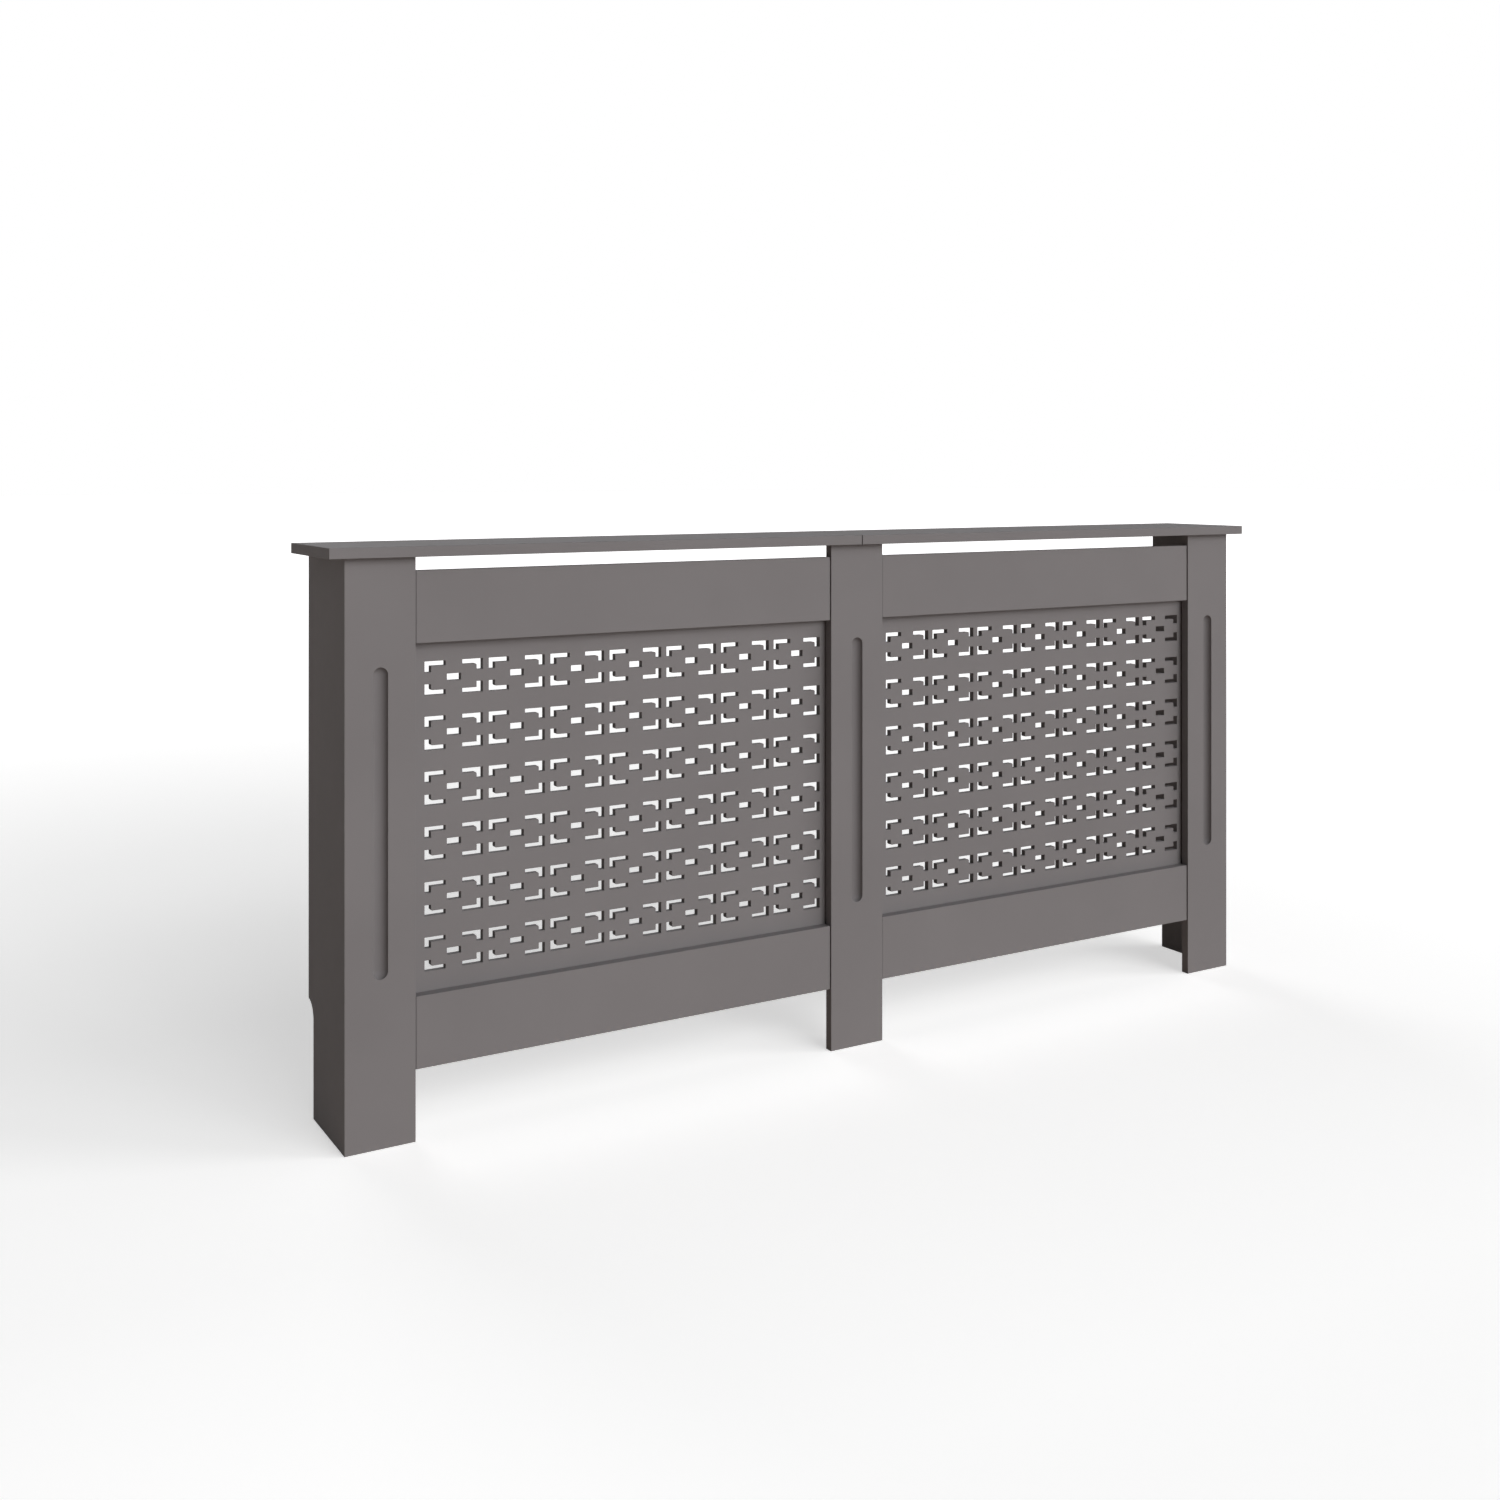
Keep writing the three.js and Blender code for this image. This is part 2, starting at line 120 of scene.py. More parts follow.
# Screws
SCREW_SHANK_RADIUS = 1.75
SCREW_CORE_RADIUS = 1.25
SCREW_POINT_RADIUS = 0.1
SCREW_LENGTH = 12.0
SCREW_TIP = 2.5
SCREW_THREAD_PITCH = 1.3
SCREW_HEAD_RADIUS = 3.5
SCREW_HEAD_HEIGHT = 2.2
SCREW_HEAD_EDGE = 0.5
SCREW_HEAD_FLAT = 0.6
SCREW_DOME_STEPS = 6
SCREW_SIDES = 24
RECESS_DEPTH = 1.5
RECESS_TOP_REACH = 2.1
RECESS_TOP_WIDTH = 0.95
RECESS_BOTTOM_REACH = 0.7
RECESS_BOTTOM_WIDTH = 0.6
GRILLE_SCREWS_PER_RAIL = 5
GRILLE_SCREW_END_MARGIN = 30.0
GRILLE_SCREW_FROM_RAIL_EDGE = 15.0

# Brackets and joining plate, holes measured from the folded corner
BRACKET_SHEET = 2.0
BRACKET_EDGE = 0.25
BRACKET_CORNER = 4.0
CORNER_STEPS = 6
FOLD_INNER_RADIUS = 1.0
FOLD_STEPS = 8
SHELF_BRACKET_HOLE = 17.7
WALL_BRACKET_HOLE = 24.7
WALL_SCREW_HOLE = 17.7
WALL_SCREW_HOLE_RADIUS = 3.0
JOINING_PLATE_SCREWS = 4

# Photograph's camera: place and reach in metres, turn in degrees, lens and sensor in millimetres
CAMERA_PLACE = (-1.4807, -2.2451, 0.9257)
CAMERA_TURN = -30.608
CAMERA_LENS = 39.04
CAMERA_SENSOR = 36.0
CAMERA_SHIFT_Y = -0.18637
CAMERA_REACH = 100.0

# Meshes: points and planes this close are one, in metres, edges sharper than this angle in degrees
# stay sharp, and the normals at an edge follow its larger face by this weight out of 100
SAME_POINT = 1e-6
SAME_PLANE = 1e-7
SHARP_ANGLE = 35.0
LARGE_FACE_WEIGHT = 100


# ------------------------------------------------------------------ materials

def new_material(name):
    """A material, its node tree's nodes and links, and its Principled shader."""
    material = bpy.data.materials.new(name)
    material.use_nodes = True
    tree = material.node_tree
    return material, tree.nodes, tree.links, tree.nodes["Principled BSDF"]


def noise_node(nodes, links, coordinates, scale, detail, stretch=None):
    """A noise texture in the part's own frame, its scale in cells per metre."""
    noise = nodes.new("ShaderNodeTexNoise")
    noise.inputs["Scale"].default_value = scale
    noise.inputs["Detail"].default_value = detail
    source = coordinates
    if stretch:
        mapping = nodes.new("ShaderNodeMapping")
        mapping.inputs["Scale"].default_value = stretch
        links.new(coordinates, mapping.inputs["Vector"])
        source = mapping.outputs["Vector"]
    links.new(source, noise.inputs["Vector"])
    return noise.outputs["Fac"]


def ramp_node(nodes, links, value, stops):
    """A colour ramp with (position, linear colour) stops."""
    ramp = nodes.new("ShaderNodeValToRGB")
    elements = ramp.color_ramp.elements
    while len(elements) < len(stops):
        elements.new(0.5)
    for element, (position, colour) in zip(elements, stops):
        element.position = position
        element.color = (*colour, 1.0)
    links.new(value, ramp.inputs["Fac"])
    return ramp.outputs["Color"]


def range_node(nodes, links, value, low, high, start=0.0, end=1.0):
    """value, from start to end, spread from low to high."""
    spread = nodes.new("ShaderNodeMapRange")
    spread.inputs["From Min"].default_value = start
    spread.inputs["From Max"].default_value = end
    spread.inputs["To Min"].default_value = low
    spread.inputs["To Max"].default_value = high
    links.new(value, spread.inputs["Value"])
    return spread.outputs["Result"]


def bump_node(nodes, links, height, distance, strength, below=None):
    bump = nodes.new("ShaderNodeBump")
    bump.inputs["Distance"].default_value = distance
    bump.inputs["Strength"].default_value = strength
    links.new(height, bump.inputs["Height"])
    if below is not None:
        links.new(below, bump.inputs["Normal"])
    return bump.outputs["Normal"]


def srgb(r, g, b):
    """Linear colour of an 8-bit screen colour."""
    return tuple(
        c / 12.92 if c <= 0.04045 else ((c + 0.055) / 1.055) ** 2.4
        for c in (r / 255, g / 255, b / 255)
    )


def painted_mdf():
    """Sprayed matt paint: faint clouds of colour and fine orange peel."""
    material, nodes, links, shader = new_material("painted_mdf")
    place = nodes.new("ShaderNodeTexCoord").outputs["Object"]
    clouds = noise_node(nodes, links, place, scale=5.0, detail=3.0)
    colour = ramp_node(nodes, links, clouds, [
        (0.3, srgb(120, 117, 118)),
        (0.7, srgb(124, 121, 122)),
    ])
    links.new(colour, shader.inputs["Base Color"])
    patches = noise_node(nodes, links, place, scale=60.0, detail=4.0)
    roughness = range_node(nodes, links, patches, low=0.64, high=0.74)
    links.new(roughness, shader.inputs["Roughness"])
    peel = noise_node(nodes, links, place, scale=700.0, detail=2.0)
    grit = noise_node(nodes, links, place, scale=2600.0, detail=1.0)
    normal = bump_node(nodes, links, peel, distance=0.00006, strength=0.5)
    normal = bump_node(nodes, links, grit, distance=0.00001, strength=0.4, below=normal)
    links.new(normal, shader.inputs["Normal"])
    shader.inputs["Specular IOR Level"].default_value = 0.15
    return material


def beech():
    material, nodes, links, shader = new_material("beech")
    place = nodes.new("ShaderNodeTexCoord").outputs["Object"]
    grain = noise_node(
        nodes, links, place, scale=900.0, detail=3.0, stretch=(0.12, 1.0, 1.0),
    )
    colour = ramp_node(nodes, links, grain, [
        (0.25, srgb(186, 146, 102)),
        (0.55, srgb(206, 172, 130)),
        (0.8, srgb(216, 186, 146)),
    ])
    links.new(colour, shader.inputs["Base Color"])
    roughness = range_node(nodes, links, grain, low=0.62, high=0.78)
    normal = bump_node(nodes, links, grain, distance=0.0001, strength=0.4)
    links.new(roughness, shader.inputs["Roughness"])
    links.new(normal, shader.inputs["Normal"])
    return material


def zinced_steel():
    """Bright zinc plating with a faint warm and cool passivation and rolling marks."""
    material, nodes, links, shader = new_material("zinced_steel")
    place = nodes.new("ShaderNodeTexCoord").outputs["Object"]
    tint = noise_node(nodes, links, place, scale=120.0, detail=3.0)
    colour = ramp_node(nodes, links, tint, [
        (0.3, srgb(190, 196, 204)),
        (0.55, srgb(205, 206, 206)),
        (0.8, srgb(212, 206, 192)),
    ])
    links.new(colour, shader.inputs["Base Color"])
    marks = noise_node(
        nodes, links, place, scale=1500.0, detail=2.0, stretch=(1.0, 0.06, 1.0),
    )
    roughness = range_node(nodes, links, marks, low=0.26, high=0.42)
    normal = bump_node(nodes, links, marks, distance=0.00002, strength=0.3)
    links.new(roughness, shader.inputs["Roughness"])
    links.new(normal, shader.inputs["Normal"])
    shader.inputs["Metallic"].default_value = 1.0
    return material


FINISHES = {
    "painted_mdf": painted_mdf(),
    "beech": beech(),
    "zinced_steel": zinced_steel(),
}


# ------------------------------------------------------------------ pieces

def add_piece(name, mesh, slot, replaced):
    """A finished piece that stands for CAD nodes and rides with the cabinet."""
    mesh.materials.clear()
    mesh.materials.append(FINISHES[slot])
    piece = bpy.data.objects.new(name, mesh)
    bpy.context.scene.collection.objects.link(piece)
    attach(piece, "root")
    if replaced:
        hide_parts(*replaced)
    return piece


def smooth(piece, angle=SHARP_ANGLE):
    """Rounded edges shade smoothly and flat faces stay flat."""
    piece.data.polygons.foreach_set("use_smooth", [True] * len(piece.data.polygons))
    piece.data.set_sharp_from_angle(angle=math.radians(angle))
    weighted = piece.modifiers.new("flat_faces", "WEIGHTED_NORMAL")
    weighted.keep_sharp = True
    weighted.weight = LARGE_FACE_WEIGHT
    return piece


# Turns a plate drawn in its own XY plane so that its thickness runs along the named axis.
PLATE_TURNS = {
    "x": Matrix(((0, 0, 1), (1, 0, 0), (0, 1, 0))),
    "y": Matrix(((1, 0, 0), (0, 0, -1), (0, 1, 0))),
    "z": Matrix.Identity(3),
}


def plate(outline, axis, low, high, edge, holes=()):
    """A flat board with rounded edges: an outline with holes, in millimetres, carried along an axis
    from low to high. The outline is in (Y, Z) for x, (X, Z) for y and (X, Y) for z."""
    curve = bpy.data.curves.new("outline", "CURVE")
    curve.dimensions = "2D"
    curve.fill_mode = "BOTH"
    curve.extrude = ((high - low) / 2 - edge) * MM
    curve.bevel_depth = edge * MM
    curve.bevel_resolution = EDGE_STEPS
    curve.offset = -edge * MM
    for points in (outline, *holes):
        spline = curve.splines.new("POLY")
        spline.points.add(len(points) - 1)
        spline.use_cyclic_u = True
        for point, (u, v) in zip(spline.points, points):
            point.co = (u * MM, v * MM, 0.0, 1.0)
    drawn = bpy.data.objects.new("outline", curve)
    bpy.context.scene.collection.objects.link(drawn)
    graph = bpy.context.evaluated_depsgraph_get()
    mesh = bpy.data.meshes.new_from_object(drawn.evaluated_get(graph))
    bpy.data.objects.remove(drawn)
    bpy.data.curves.remove(curve)
    turn = PLATE_TURNS[axis].to_4x4()
    middle = (low + high) / 2 * MM
    shift = {"x": (middle, 0, 0), "y": (0, middle, 0), "z": (0, 0, middle)}[axis]
    mesh.transform(Matrix.Translation(shift) @ turn)
    shell = bmesh.new()
    shell.from_mesh(mesh)
    bmesh.ops.remove_doubles(shell, verts=shell.verts, dist=SAME_POINT)
    bmesh.ops.recalc_face_normals(shell, faces=shell.faces)
    shell.to_mesh(mesh)
    shell.free()
    return mesh


def rectangle(low_u, low_v, high_u, high_v):
    return [(low_u, low_v), (high_u, low_v), (high_u, high_v), (low_u, high_v)]


def node_box(node):
    """Lowest and highest corner of a CAD node, in millimetres."""
    low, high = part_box(node)
    return low / MM, high / MM


def longest_axis(size):
    """The axis, 0 to 2, along which a box is longest."""
    return max(range(3), key=lambda i: size[i])


# ------------------------------------------------------------------ drilled holes

def cut(mesh, cutter):
    """mesh with cutter taken out of it. Both are closed, and cutter is used up."""
    objects = [bpy.data.objects.new("cut", mesh), bpy.data.objects.new("cutter", cutter)]
    for part in objects:
        bpy.context.scene.collection.objects.link(part)
    boolean = objects[0].modifiers.new("cut", "BOOLEAN")
    boolean.object = objects[1]
    boolean.solver = "EXACT"
    graph = bpy.context.evaluated_depsgraph_get()
    result = bpy.data.meshes.new_from_object(objects[0].evaluated_get(graph))
    for part in objects:
        bpy.data.objects.remove(part)
    bpy.data.meshes.remove(mesh)
    bpy.data.meshes.remove(cutter)
    return result


def fitting_bore(node):
    """(axis, middle, length, radius) of the hole in the boards round a dowel or a screw."""
    low, high = node_box(node)
    size = high - low
    axis = longest_axis(size)
    radius = DOWEL_RADIUS if "_dowel_" in node else SCREW_SHANK_RADIUS
    length = size[axis] + 2 * BORE_END_CLEARANCE
    return axis, (low + high) / 2, length, radius + BORE_CLEARANCE


def grille_screw_seats(side):
    """Where the screws on the back of a grille seat: five along each rail."""
    back = node_box(f"grille_{side}")[1].y
    seats = []
    for rail_name, sign in (("top", 1), ("bottom", -1)):
        low, high = node_box(f"{rail_name}_rail_{side}")
        inner_edge = low.z if sign > 0 else high.z
        first = low.x + GRILLE_SCREW_END_MARGIN
        last = high.x - GRILLE_SCREW_END_MARGIN
        for step in range(GRILLE_SCREWS_PER_RAIL):
            x = first + (last - first) * step / (GRILLE_SCREWS_PER_RAIL - 1)
            seats.append(Vector((x, back, inner_edge + sign * GRILLE_SCREW_FROM_RAIL_EDGE)))
    return seats


FITTINGS = sorted(n for n in frame["nodes"] if "_dowel_" in n or "_screw" in n)
BORES = [fitting_bore(n) for n in FITTINGS]
for hand in ("left", "right"):
    for seat in grille_screw_seats(hand):
        reach = SCREW_LENGTH + BORE_END_CLEARANCE
        middle = seat - Vector((0, reach / 2 - BORE_END_CLEARANCE, 0))
        BORES.append((1, middle, reach + BORE_END_CLEARANCE, SCREW_SHANK_RADIUS + BORE_CLEARANCE))


def drilled(mesh, node):
    """A board's mesh with the holes of every dowel and screw that enters the CAD node."""
    low, high = node_box(node)
    drill = bmesh.new()
    for axis, middle, length, radius in BORES:
        half = Vector((radius, radius, radius))
        half[axis] = length / 2
        if any(middle[i] + half[i] <= low[i] or middle[i] - half[i] >= high[i] for i in range(3)):
            continue
        turn = (Matrix.Rotation(math.pi / 2, 4, "Y"), Matrix.Rotation(math.pi / 2, 4, "X"),
                Matrix.Identity(4))[axis]
        bmesh.ops.create_cone(
            drill, cap_ends=True, segments=BORE_SIDES, radius1=radius * MM, radius2=radius * MM,
            depth=length * MM, matrix=Matrix.Translation(middle * MM) @ turn,
        )
    cutter = bpy.data.meshes.new("drill")
    drill.to_mesh(cutter)
    drill.free()
    return cut(mesh, cutter)


def painted_board(node, mesh):
    smooth(add_piece(f"painted_{node}", drilled(mesh, node), "painted_mdf", [node]))


# ------------------------------------------------------------------ shelf, rails and side panels

def shelf(node):
    """Half of the shelf. It all but meets the other half, behind a seam open above and in front."""
    low, high = node_box(node)
    seam = [
        (low.y - CUT_OVERRUN, low.z - CUT_OVERRUN),
        (low.y + SEAM_DEPTH, low.z - CUT_OVERRUN),
        (low.y + SEAM_DEPTH, high.z - SEAM_DEPTH),
        (high.y + CUT_OVERRUN, high.z - SEAM_DEPTH),
        (high.y + CUT_OVERRUN, high.z + CUT_OVERRUN),
        (low.y - CUT_OVERRUN, high.z + CUT_OVERRUN),
    ]
    if high.x < 0:
        high.x = -SEAM_CORE_GAP / 2
    else:
        low.x = SEAM_CORE_GAP / 2
    mesh = plate(rectangle(low.x, low.y, high.x, high.y), "z", low.z, high.z, BOARD_EDGE)
    painted_board(node, cut(mesh, plate(seam, "x", -SEAM_WIDTH / 2, SEAM_WIDTH / 2, 0)))


def rail(node):
    """A rail between two posts, a shade short of them and sanded round at the ends of its face."""
    low, high = node_box(node)
    left = low.x + RAIL_END_GAP
    right = high.x - RAIL_END_GAP
    outline = [(right, high.y), (left, high.y)]
    for end, sign in ((left, 1), (right, -1)):
        arc = []
        for step in range(RAIL_END_STEPS + 1):
            angle = math.pi / 2 * step / RAIL_END_STEPS
            arc.append((
                end + sign * RAIL_END_ROUNDING * (1 - math.cos(angle)),
                low.y + RAIL_END_ROUNDING * (1 - math.sin(angle)),
            ))
        outline.extend(arc if sign > 0 else reversed(arc))
    painted_board(node, plate(outline, "z", low.z, high.z, JOINT_EDGE))


def side_panel(node):
    """A side panel, notched at the lower rear for the skirting, with the notch's corner rounded."""
    low, high = node_box(node)
    notch_front = high.y - SKIRTING_DEPTH
    arc_centre = (high.y, SKIRTING_HEIGHT - SKIRTING_DEPTH)
    arc = []
    for step in range(NOTCH_ARC_STEPS + 1):
        angle = math.pi - step / NOTCH_ARC_STEPS * math.pi / 2
        arc.append((
            arc_centre[0] + SKIRTING_DEPTH * math.cos(angle),
            arc_centre[1] + SKIRTING_DEPTH * math.sin(angle),
        ))
    outline = [(low.y, low.z), (notch_front, low.z), *arc, (high.y, high.z), (low.y, high.z)]
    painted_board(node, plate(outline, "x", low.x, high.x, JOINT_EDGE))


# ------------------------------------------------------------------ posts with their grooves

def stadium(middle_x, low_z, high_z, radius):
    """Points of an upright round-ended slot, low_z and high_z being the centres of its ends."""
    points = []
    for centre_z, start in ((high_z, 0.0), (low_z, math.pi)):
        for step in range(GROOVE_ARC_STEPS + 1):
            angle = start + step / GROOVE_ARC_STEPS * math.pi
            points.append((
                middle_x + radius * math.cos(angle),
                centre_z + radius * math.sin(angle),
            ))
    return points


def groove_profile():
    """(distance from the groove's middle, depth) pairs from the face to the bottom."""
    half = GROOVE_WIDTH / 2
    radius = (half ** 2 + GROOVE_DEPTH ** 2) / (2 * GROOVE_DEPTH)
    lip_angle = math.asin(min(1.0, half / radius))
    pairs = []
    for step in range(EDGE_STEPS + 1):
        angle = step / (EDGE_STEPS + 1) * lip_angle
        pairs.append((
            half + GROOVE_LIP * (1 - math.sin(angle) / math.sin(lip_angle)),
            GROOVE_LIP * (1 - math.cos(angle)),
        ))
    for step in range(GROOVE_RINGS + 1):
        angle = lip_angle * (1 - step / GROOVE_RINGS)
        distance = radius * math.sin(angle)
        depth = GROOVE_DEPTH - radius * (1 - math.cos(angle))
        if depth > pairs[-1][1]:
            pairs.append((distance, depth))
    return pairs


def post(node):
    """An upright whose face is opened for a round-ended groove, let in as rings of faces."""
    low, high = node_box(node)
    groove_low = node_box("bottom_rail_left")[1].z + GROOVE_ABOVE_BOTTOM_RAIL + GROOVE_WIDTH / 2
    groove_high = node_box("top_rail_left")[0].z - GROOVE_BELOW_TOP_RAIL - GROOVE_WIDTH / 2
    middle_x = (low.x + high.x) / 2
    outline = rectangle(low.x, low.z, high.x, high.z)
    mesh = plate(outline, "y", low.y, high.y, JOINT_EDGE)
    shell = bmesh.new()
    shell.from_mesh(mesh)
    face_y = low.y * MM
    on_face = [f for f in shell.faces if all(abs(v.co.y - face_y) < SAME_PLANE for v in f.verts)]
    touching = [e for e in shell.edges if any(f in on_face for f in e.link_faces)]
    inside = [e for e in touching if all(f in on_face for f in e.link_faces)]
    border = [e for e in touching if e not in inside]
    bmesh.ops.delete(shell, geom=on_face, context="FACES_ONLY")
    bmesh.ops.delete(shell, geom=inside, context="EDGES_FACES")
    rings = []
    for distance, depth in groove_profile():
        rings.append([
            shell.verts.new((x * MM, face_y + depth * MM, z * MM))
            for x, z in stadium(middle_x, groove_low, groove_high, distance)
        ])
    around = len(rings[0])
    mouth = [shell.edges.new((rings[0][i], rings[0][(i + 1) % around])) for i in range(around)]
    for outer, inner in zip(rings, rings[1:]):
        for i in range(around):
            j = (i + 1) % around
            shell.faces.new((outer[i], outer[j], inner[j], inner[i]))
    bmesh.ops.triangle_fill(shell, edges=[*border, *mouth], use_beauty=True)
    bmesh.ops.remove_doubles(shell, verts=shell.verts, dist=SAME_POINT)
    bmesh.ops.recalc_face_normals(shell, faces=shell.faces)
    shell.to_mesh(mesh)
    shell.free()
    painted_board(node, mesh)


# ------------------------------------------------------------------ grilles

def l_slot(x, z, side_x, side_z, rounded):
    """One L slot with its outer corner at (x, z); the inner corner is sharp or filleted."""
    inner_x = x + side_x * L_SLOT_LEG
    inner_z = z + side_z * L_SLOT_BAR
    inner = [(inner_x, inner_z)]
    if rounded:
        inner = []
        for step in range(FILLET_STEPS + 1):
            angle = step / FILLET_STEPS * math.pi / 2
            inner.append((
                inner_x + side_x * L_SLOT_FILLET * (1 - math.sin(angle)),
                inner_z + side_z * L_SLOT_FILLET * (1 - math.cos(angle)),
            ))
    return [
        (x, z),
        (x + side_x * L_SLOT_LENGTH, z),
        (x + side_x * L_SLOT_LENGTH, z + side_z * L_SLOT_BAR),
        *inner,
        (inner_x, z + side_z * L_SLOT_HEIGHT),
        (x, z + side_z * L_SLOT_HEIGHT),
    ]


def motif(x, z):
    """The five slots of one motif whose lower left corner is at (x, z)."""
    right = x + MOTIF_WIDTH
    top = z + MOTIF_HEIGHT
    short_x = (x + right - SHORT_SLOT_LENGTH) / 2
    short_z = (z + top - SHORT_SLOT_HEIGHT) / 2
    return [
        l_slot(x, z, 1, 1, True),
        l_slot(right, z, -1, 1, False),
        l_slot(right, top, -1, -1, True),
        l_slot(x, top, 1, -1, False),
        rectangle(short_x, short_z, short_x + SHORT_SLOT_LENGTH, short_z + SHORT_SLOT_HEIGHT),
    ]


def grille(node, top_rail, bottom_rail, start_x):
    """A panel pierced by as many motifs as fit between its posts and between its rails."""
    low, high = node_box(node)
    opening_low = node_box(bottom_rail)[1].z
    opening_high = node_box(top_rail)[0].z
    bay_low = node_box(top_rail)[0].x
    bay_high = node_box(top_rail)[1].x
    slots = []
    x = bay_low + start_x
    while x + MOTIF_WIDTH <= bay_high:
        z = opening_low + PATTERN_START_Z
        while z + MOTIF_HEIGHT <= opening_high:
            slots.extend(motif(x, z))
            z += MOTIF_PITCH_Z
        x += MOTIF_PITCH_X
    outline = rectangle(low.x, low.z, high.x, high.z)
    painted_board(node, plate(outline, "y", low.y, high.y, SLOT_EDGE, slots))


for side in ("left", "right"):
    shelf(f"shelf_{side}")
    side_panel(f"side_panel_{side}")
    rail(f"top_rail_{side}")
    rail(f"bottom_rail_{side}")
for place in ("left", "centre", "right"):
    post(f"post_{place}")
grille("grille_left", "top_rail_left", "bottom_rail_left", PATTERN_START_LEFT_BAY)
grille("grille_right", "top_rail_right", "bottom_rail_right", PATTERN_START_RIGHT_BAY)


# ------------------------------------------------------------------ dowels

def placed(name, mesh, slot, replaced, matrix):
    """A piece whose mesh is drawn at the origin in metres, put in its place by a matrix."""
    mesh.transform(matrix)
    return add_piece(name, mesh, slot, replaced)


def ring_solid(rings):
    """A closed mesh through rings of as many points each, its ends closed by flat faces."""
    shell = bmesh.new()
    loops = [[shell.verts.new([c * MM for c in point]) for point in ring] for ring in rings]
    around = len(loops[0])
    for lower, upper in zip(loops, loops[1:]):
        for i in range(around):
            j = (i + 1) % around
            shell.faces.new((lower[i], lower[j], upper[j], upper[i]))
    shell.faces.new(loops[0][::-1])
    shell.faces.new(loops[-1])
    bmesh.ops.recalc_face_normals(shell, faces=shell.faces)
    mesh = bpy.data.meshes.new("rings")
    shell.to_mesh(mesh)
    shell.free()
    return mesh


def fluted_dowel(length):
    """A dowel along Z, its middle at the origin, with flutes for the glue and chamfered ends."""
    corners = []
    for step in range(2 * DOWEL_FLUTES):
        radius = DOWEL_RADIUS - (DOWEL_FLUTE_DEPTH if step % 2 else 0.0)
        angle = step / DOWEL_FLUTES * math.pi
        corners.append((radius * math.cos(angle), radius * math.sin(angle)))
    half = length / 2
    tip = 1 - DOWEL_CHAMFER / DOWEL_RADIUS
    shoulder = half - DOWEL_CHAMFER
    stations = [(-half, tip), (-shoulder, 1.0), (shoulder, 1.0), (half, tip)]
    return ring_solid([[(x * s, y * s, z) for x, y in corners] for z, s in stations])


def dowel(node):
    low, high = node_box(node)
    size = high - low
    axis = longest_axis(size)
    aim = Vector([1.0 if i == axis else 0.0 for i in range(3)])
    turn = aim.to_track_quat("Z", "Y").to_matrix().to_4x4()
    middle = Matrix.Translation((low + high) / 2 * MM)
    piece = placed(f"fluted_{node}", fluted_dowel(size[axis]), "beech", [node], middle @ turn)
    smooth(piece, DOWEL_SHARP_ANGLE)


for fitting in FITTINGS:
    if "_dowel_" in fitting:
        dowel(fitting)


# ------------------------------------------------------------------ screws

def cross_wing(along):
    """One of the two crossing wings of a screw's recess, tapered towards its bottom."""
    rings = []
    for z, reach, width in (
        (-SCREW_HEAD_HEIGHT - CUT_OVERRUN, RECESS_TOP_REACH, RECESS_TOP_WIDTH),
        (-SCREW_HEAD_HEIGHT + RECESS_DEPTH, RECESS_BOTTOM_REACH, RECESS_BOTTOM_WIDTH),
    ):
        corners = rectangle(-reach, -width / 2, reach, width / 2)
        rings.append([(u, v, z) if along == "x" else (-v, u, z) for u, v in corners])
    return ring_solid(rings)


def screw_mesh():
    """A pan-head screw: its head seats on z = 0 with a cross recess, its thread runs along +Z."""
    profile = []
    for step in range(SCREW_DOME_STEPS + 1):
        angle = (1 - step / SCREW_DOME_STEPS) * math.pi / 2
        profile.append((
            SCREW_HEAD_FLAT + (SCREW_HEAD_RADIUS - SCREW_HEAD_FLAT) * math.cos(angle),
            -SCREW_HEAD_EDGE - (SCREW_HEAD_HEIGHT - SCREW_HEAD_EDGE) * math.sin(angle),
        ))
    profile += [(SCREW_HEAD_RADIUS, 0.0), (SCREW_CORE_RADIUS, 0.0)]
    z = SCREW_THREAD_PITCH / 2
    while z < SCREW_LENGTH - SCREW_TIP:
        profile += [
            (SCREW_CORE_RADIUS, z),
            (SCREW_SHANK_RADIUS, z + SCREW_THREAD_PITCH / 4),
            (SCREW_CORE_RADIUS, z + SCREW_THREAD_PITCH / 2),
        ]
        z += SCREW_THREAD_PITCH
    profile.append((SCREW_POINT_RADIUS, SCREW_LENGTH))
    rings = []
    for radius, height in profile:
        rings.append([
            (
                radius * math.cos(2 * math.pi * i / SCREW_SIDES),
                radius * math.sin(2 * math.pi * i / SCREW_SIDES),
                height,
            )
            for i in range(SCREW_SIDES)
        ])
    return cut(cut(ring_solid(rings), cross_wing("x")), cross_wing("y"))


SCREW = screw_mesh()


def screw(name, seat, aim, replaced=()):
    """A screw with its head's seat at a point, in millimetres, and its thread along aim."""
    turn = Vector(aim).to_track_quat("Z", "Y").to_matrix().to_4x4()
    place = Matrix.Translation(Vector(seat) * MM)
    smooth(placed(name, SCREW.copy(), "zinced_steel", replaced, place @ turn))


def screw_node(node, aim):
    """The screw of a CAD node, whose thread runs along aim."""
    low, high = node_box(node)
    seat = (low + high) / 2
    for i in range(3):
        if aim[i] > 0:
            seat[i] = low[i] + SCREW_HEAD_HEIGHT
        if aim[i] < 0:
            seat[i] = high[i] - SCREW_HEAD_HEIGHT
    screw(f"turned_{node}", seat, aim, [node])


LEFT, RIGHT, FRONT, BACK, DOWN, UP = (
    (-1, 0, 0), (1, 0, 0), (0, -1, 0), (0, 1, 0), (0, 0, -1), (0, 0, 1),
)

